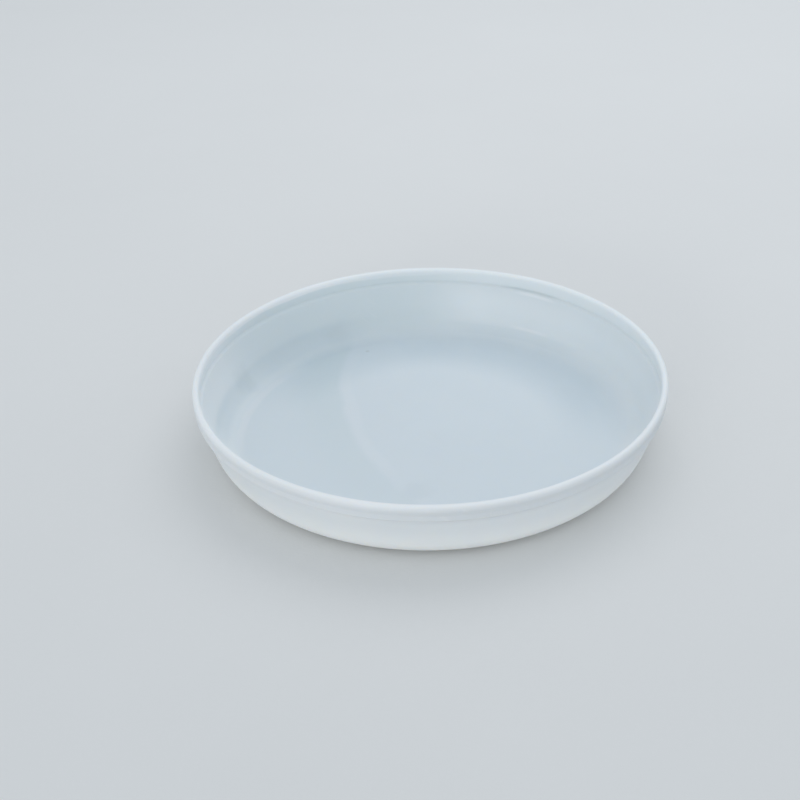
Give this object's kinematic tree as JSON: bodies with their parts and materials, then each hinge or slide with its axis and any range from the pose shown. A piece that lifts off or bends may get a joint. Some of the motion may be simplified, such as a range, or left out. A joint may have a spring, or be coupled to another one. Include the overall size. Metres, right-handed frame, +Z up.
{
  "type": "feed pan",
  "caption": "Large, shallow, round livestock feed pan in thick milky-white plastic, with a stepped, rounded lip, a sloping wall and a wide flat floor.",
  "frame": {"origin": "centre of the circle the pan stands on, at ground level", "axes": "+Z up, along the axis the pan is turned about; +X and +Y are level and interchangeable"},
  "size_m": [0.75, 0.75, 0.116],
  "materials": {
    "polyethylene": "satin"
  },
  "bodies": {
    "root": {"feed_pan": "polyethylene"}
  },
  "joints": []
}
